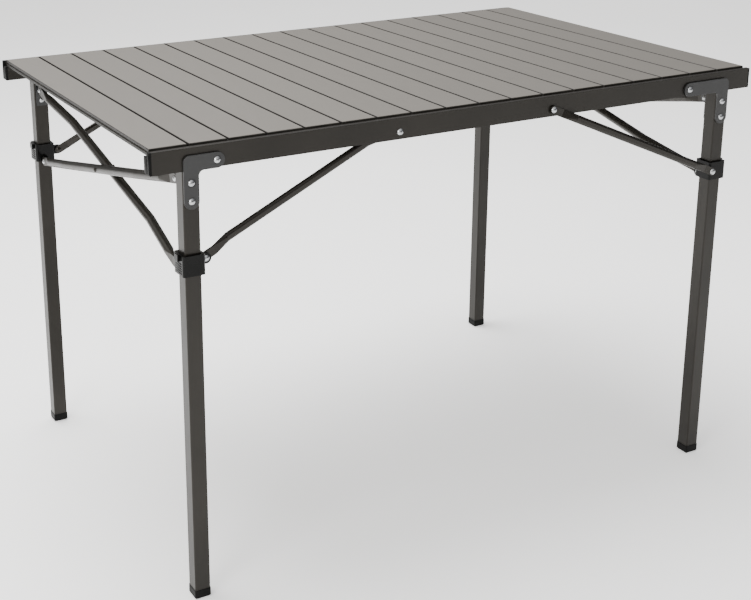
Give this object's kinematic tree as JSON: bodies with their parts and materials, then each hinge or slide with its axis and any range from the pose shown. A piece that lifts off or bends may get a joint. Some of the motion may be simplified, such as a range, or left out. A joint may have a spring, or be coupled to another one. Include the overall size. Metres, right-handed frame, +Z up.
{
  "type": "folding picnic table",
  "caption": "Folding picnic table with a roll-up slatted top on two rails, square legs, scissor end braces and long braces to sliding collars.",
  "frame": {"origin": "on the ground, under the middle of the table", "axes": "+X along the table's length towards the end with the long bracket arms, -Y towards the front, +Z up"},
  "size_m": [1.1, 0.7232, 0.716],
  "materials": {
    "rail": "dark anodised satin",
    "leg": "dark satin",
    "cap": "fine moulded grain",
    "foot": "fine moulded grain",
    "bracket": "satin",
    "rivet": "bright zinc",
    "collar": "glossy moulded",
    "bar": "dark satin",
    "brace": "dark satin",
    "slat": "matte powder coat"
  },
  "bodies": {
    "front_rail": {"front_rail": "rail", "front_ledge": "rail", "front_rail_caps": "cap", "front_rail_rivets": "rivet"},
    "back_rail": {"back_rail": "rail", "back_ledge": "rail", "back_rail_caps": "cap", "back_rail_rivets": "rivet"},
    "leg_front_left": {"leg_front_left": "leg", "foot_front_left": "foot", "bracket_front_left": "bracket", "leg_rivets_front_left": "rivet"},
    "collar_front_left": {"collar_front_left": "collar", "collar_rivets_front_left": "rivet"},
    "brace_front_left": {"brace_front_left": "brace"},
    "leg_front_right": {"leg_front_right": "leg", "foot_front_right": "foot", "bracket_front_right": "bracket", "leg_rivets_front_right": "rivet"},
    "collar_front_right": {"collar_front_right": "collar", "collar_rivets_front_right": "rivet"},
    "brace_front_right": {"brace_front_right": "brace"},
    "leg_back_left": {"leg_back_left": "leg", "foot_back_left": "foot", "bracket_back_left": "bracket", "leg_rivets_back_left": "rivet"},
    "collar_back_left": {"collar_back_left": "collar", "collar_rivets_back_left": "rivet"},
    "brace_back_left": {"brace_back_left": "brace"},
    "leg_back_right": {"leg_back_right": "leg", "foot_back_right": "foot", "bracket_back_right": "bracket", "leg_rivets_back_right": "rivet"},
    "collar_back_right": {"collar_back_right": "collar", "collar_rivets_back_right": "rivet"},
    "brace_back_right": {"brace_back_right": "brace"},
    "scissor_left_outer": {"scissor_left_outer": "bar"},
    "scissor_left_inner": {"scissor_left_inner": "bar"},
    "scissor_right_outer": {"scissor_right_outer": "bar"},
    "scissor_right_inner": {"scissor_right_inner": "bar"},
    "slat_01": {"slat_01": "slat"},
    "slat_02": {"slat_02": "slat"},
    "slat_03": {"slat_03": "slat"},
    "slat_04": {"slat_04": "slat"},
    "slat_05": {"slat_05": "slat"},
    "slat_06": {"slat_06": "slat"},
    "slat_07": {"slat_07": "slat"},
    "slat_08": {"slat_08": "slat"},
    "slat_09": {"slat_09": "slat"},
    "slat_10": {"slat_10": "slat"},
    "slat_11": {"slat_11": "slat"},
    "slat_12": {"slat_12": "slat"},
    "slat_13": {"slat_13": "slat"},
    "slat_14": {"slat_14": "slat"},
    "slat_15": {"slat_15": "slat"},
    "slat_16": {"slat_16": "slat"},
    "slat_17": {"slat_17": "slat"},
    "slat_18": {"slat_18": "slat"}
  },
  "joints": [
    {"name": "fold", "type": "hinge", "parent": "front_rail", "child": "leg_front_left", "pos_m": [-0.45, -0.35, 0.6915], "axis": [0, -1, 0], "range_deg": [0, 41]},
    {"name": "scissor_left_top_front", "type": "hinge", "parent": "leg_front_left", "child": "scissor_left_outer", "pos_m": [-0.496, -0.31, 0.66], "axis": [-1, 0, 0], "range_deg": [0, 30.96]},
    {"name": "scissor_left_middle", "type": "hinge", "parent": "scissor_left_outer", "child": "scissor_left_inner", "pos_m": [-0.496, 0, 0.594], "axis": [1, 0, 0], "range_deg": [0, 61.91]},
    {"name": "scissor_left_top_back", "type": "hinge", "parent": "scissor_left_inner", "child": "leg_back_left", "pos_m": [-0.496, 0.31, 0.66], "axis": [-1, 0, 0], "range_deg": [0, 30.96]},
    {"name": "collar_front_left_pivot", "type": "hinge", "parent": "scissor_left_inner", "child": "collar_front_left", "pos_m": [-0.496, -0.31, 0.528], "axis": [-1, 0, 0], "range_deg": [0, 30.96]},
    {"name": "collar_back_left_pivot", "type": "hinge", "parent": "scissor_left_outer", "child": "collar_back_left", "pos_m": [-0.496, 0.31, 0.528], "axis": [1, 0, 0], "range_deg": [0, 30.96]},
    {"name": "back_left_leg_pivot", "type": "hinge", "parent": "leg_back_left", "child": "back_rail", "pos_m": [-0.45, 0.35, 0.6915], "axis": [0, 1, 0], "range_deg": [0, 41]},
    {"name": "front_right_leg_pivot", "type": "hinge", "parent": "front_rail", "child": "leg_front_right", "pos_m": [0.416, -0.35, 0.6915], "axis": [0, 1, 0], "range_deg": [0, 42.39]},
    {"name": "scissor_right_top_front", "type": "hinge", "parent": "leg_front_right", "child": "scissor_right_outer", "pos_m": [0.496, -0.31, 0.66], "axis": [-1, 0, 0], "range_deg": [0, 30.96]},
    {"name": "scissor_right_middle", "type": "hinge", "parent": "scissor_right_outer", "child": "scissor_right_inner", "pos_m": [0.496, 0, 0.594], "axis": [1, 0, 0], "range_deg": [0, 61.91]},
    {"name": "scissor_right_top_back", "type": "hinge", "parent": "scissor_right_inner", "child": "leg_back_right", "pos_m": [0.496, 0.31, 0.66], "axis": [-1, 0, 0], "range_deg": [0, 30.96]},
    {"name": "collar_front_right_pivot", "type": "hinge", "parent": "scissor_right_inner", "child": "collar_front_right", "pos_m": [0.496, -0.31, 0.528], "axis": [-1, 0, 0], "range_deg": [0, 30.96]},
    {"name": "collar_back_right_pivot", "type": "hinge", "parent": "scissor_right_outer", "child": "collar_back_right", "pos_m": [0.496, 0.31, 0.528], "axis": [1, 0, 0], "range_deg": [0, 30.96]},
    {"name": "brace_front_left_pivot", "type": "hinge", "parent": "front_rail", "child": "brace_front_left", "pos_m": [-0.1485, -0.327, 0.6915], "axis": [0, -1, 0], "range_deg": [0, 61.89]},
    {"name": "brace_front_right_pivot", "type": "hinge", "parent": "front_rail", "child": "brace_front_right", "pos_m": [0.134, -0.352, 0.6915], "axis": [0, 1, 0], "range_deg": [0, 62.83]},
    {"name": "brace_back_left_pivot", "type": "hinge", "parent": "back_rail", "child": "brace_back_left", "pos_m": [-0.1485, 0.327, 0.6915], "axis": [0, -1, 0], "range_deg": [0, 61.89]},
    {"name": "brace_back_right_pivot", "type": "hinge", "parent": "back_rail", "child": "brace_back_right", "pos_m": [0.134, 0.352, 0.6915], "axis": [0, 1, 0], "range_deg": [0, 62.83]},
    {"name": "top_lift", "type": "slide", "parent": "front_rail", "child": "slat_01", "axis": [0, 0, 1], "range_m": [0, 0.28003]},
    {"name": "slat_01_to_02", "type": "hinge", "parent": "slat_01", "child": "slat_02", "pos_m": [-0.48684, 0, 0.716], "axis": [0, -1, 0], "range_deg": [0, 43.14]},
    {"name": "slat_02_to_03", "type": "hinge", "parent": "slat_02", "child": "slat_03", "pos_m": [-0.42599, 0, 0.716], "axis": [0, -1, 0], "range_deg": [0, 44.29]},
    {"name": "slat_03_to_04", "type": "hinge", "parent": "slat_03", "child": "slat_04", "pos_m": [-0.36513, 0, 0.716], "axis": [0, -1, 0], "range_deg": [0, 45.55]},
    {"name": "slat_04_to_05", "type": "hinge", "parent": "slat_04", "child": "slat_05", "pos_m": [-0.30428, 0, 0.716], "axis": [0, -1, 0], "range_deg": [0, 46.93]},
    {"name": "slat_05_to_06", "type": "hinge", "parent": "slat_05", "child": "slat_06", "pos_m": [-0.24342, 0, 0.716], "axis": [0, -1, 0], "range_deg": [0, 48.44]},
    {"name": "slat_06_to_07", "type": "hinge", "parent": "slat_06", "child": "slat_07", "pos_m": [-0.18257, 0, 0.716], "axis": [0, -1, 0], "range_deg": [0, 50.11]},
    {"name": "slat_07_to_08", "type": "hinge", "parent": "slat_07", "child": "slat_08", "pos_m": [-0.12171, 0, 0.716], "axis": [0, -1, 0], "range_deg": [0, 51.98]},
    {"name": "slat_08_to_09", "type": "hinge", "parent": "slat_08", "child": "slat_09", "pos_m": [-0.06086, 0, 0.716], "axis": [0, -1, 0], "range_deg": [0, 54.07]},
    {"name": "slat_09_to_10", "type": "hinge", "parent": "slat_09", "child": "slat_10", "pos_m": [0, 0, 0.716], "axis": [0, -1, 0], "range_deg": [0, 56.46]},
    {"name": "slat_10_to_11", "type": "hinge", "parent": "slat_10", "child": "slat_11", "pos_m": [0.06086, 0, 0.716], "axis": [0, -1, 0], "range_deg": [0, 59.2]},
    {"name": "slat_11_to_12", "type": "hinge", "parent": "slat_11", "child": "slat_12", "pos_m": [0.12171, 0, 0.716], "axis": [0, -1, 0], "range_deg": [0, 62.4]},
    {"name": "slat_12_to_13", "type": "hinge", "parent": "slat_12", "child": "slat_13", "pos_m": [0.18257, 0, 0.716], "axis": [0, -1, 0], "range_deg": [0, 66.22]},
    {"name": "slat_13_to_14", "type": "hinge", "parent": "slat_13", "child": "slat_14", "pos_m": [0.24342, 0, 0.716], "axis": [0, -1, 0], "range_deg": [0, 70.89]},
    {"name": "slat_14_to_15", "type": "hinge", "parent": "slat_14", "child": "slat_15", "pos_m": [0.30428, 0, 0.716], "axis": [0, -1, 0], "range_deg": [0, 76.81]},
    {"name": "slat_15_to_16", "type": "hinge", "parent": "slat_15", "child": "slat_16", "pos_m": [0.36513, 0, 0.716], "axis": [0, -1, 0], "range_deg": [0, 84.73]},
    {"name": "slat_16_to_17", "type": "hinge", "parent": "slat_16", "child": "slat_17", "pos_m": [0.42599, 0, 0.716], "axis": [0, -1, 0], "range_deg": [0, 96.33]},
    {"name": "roll_up", "type": "hinge", "parent": "slat_17", "child": "slat_18", "pos_m": [0.48684, 0, 0.716], "axis": [0, -1, 0], "range_deg": [0, 117.65]}
  ],
  "couplings": [
    {"joint": "scissor_left_top_front", "follows": "fold", "ratio": 0.75496},
    {"joint": "scissor_left_middle", "follows": "fold", "ratio": 1.5099},
    {"joint": "scissor_left_top_back", "follows": "fold", "ratio": 0.75496},
    {"joint": "collar_front_left_pivot", "follows": "fold", "ratio": 0.75496},
    {"joint": "collar_back_left_pivot", "follows": "fold", "ratio": 0.75496},
    {"joint": "back_left_leg_pivot", "follows": "fold", "ratio": 1},
    {"joint": "front_right_leg_pivot", "follows": "fold", "ratio": 1.0338},
    {"joint": "scissor_right_top_front", "follows": "fold", "ratio": 0.75496},
    {"joint": "scissor_right_middle", "follows": "fold", "ratio": 1.5099},
    {"joint": "scissor_right_top_back", "follows": "fold", "ratio": 0.75496},
    {"joint": "collar_front_right_pivot", "follows": "fold", "ratio": 0.75496},
    {"joint": "collar_back_right_pivot", "follows": "fold", "ratio": 0.75496},
    {"joint": "brace_front_left_pivot", "follows": "fold", "ratio": 1.5094},
    {"joint": "brace_front_right_pivot", "follows": "fold", "ratio": 1.5322},
    {"joint": "brace_back_left_pivot", "follows": "fold", "ratio": 1.5094},
    {"joint": "brace_back_right_pivot", "follows": "fold", "ratio": 1.5322},
    {"joint": "top_lift", "follows": "fold", "m_per_rad": 0.39129},
    {"joint": "slat_01_to_02", "follows": "roll_up", "ratio": 0.3666},
    {"joint": "slat_02_to_03", "follows": "roll_up", "ratio": 0.37645},
    {"joint": "slat_03_to_04", "follows": "roll_up", "ratio": 0.38715},
    {"joint": "slat_04_to_05", "follows": "roll_up", "ratio": 0.39885},
    {"joint": "slat_05_to_06", "follows": "roll_up", "ratio": 0.4117},
    {"joint": "slat_06_to_07", "follows": "roll_up", "ratio": 0.42591},
    {"joint": "slat_07_to_08", "follows": "roll_up", "ratio": 0.44175},
    {"joint": "slat_08_to_09", "follows": "roll_up", "ratio": 0.45957},
    {"joint": "slat_09_to_10", "follows": "roll_up", "ratio": 0.47981},
    {"joint": "slat_10_to_11", "follows": "roll_up", "ratio": 0.5031},
    {"joint": "slat_11_to_12", "follows": "roll_up", "ratio": 0.53032},
    {"joint": "slat_12_to_13", "follows": "roll_up", "ratio": 0.56278},
    {"joint": "slat_13_to_14", "follows": "roll_up", "ratio": 0.60249},
    {"joint": "slat_14_to_15", "follows": "roll_up", "ratio": 0.65283},
    {"joint": "slat_15_to_16", "follows": "roll_up", "ratio": 0.72012},
    {"joint": "slat_16_to_17", "follows": "roll_up", "ratio": 0.81865}
  ]
}
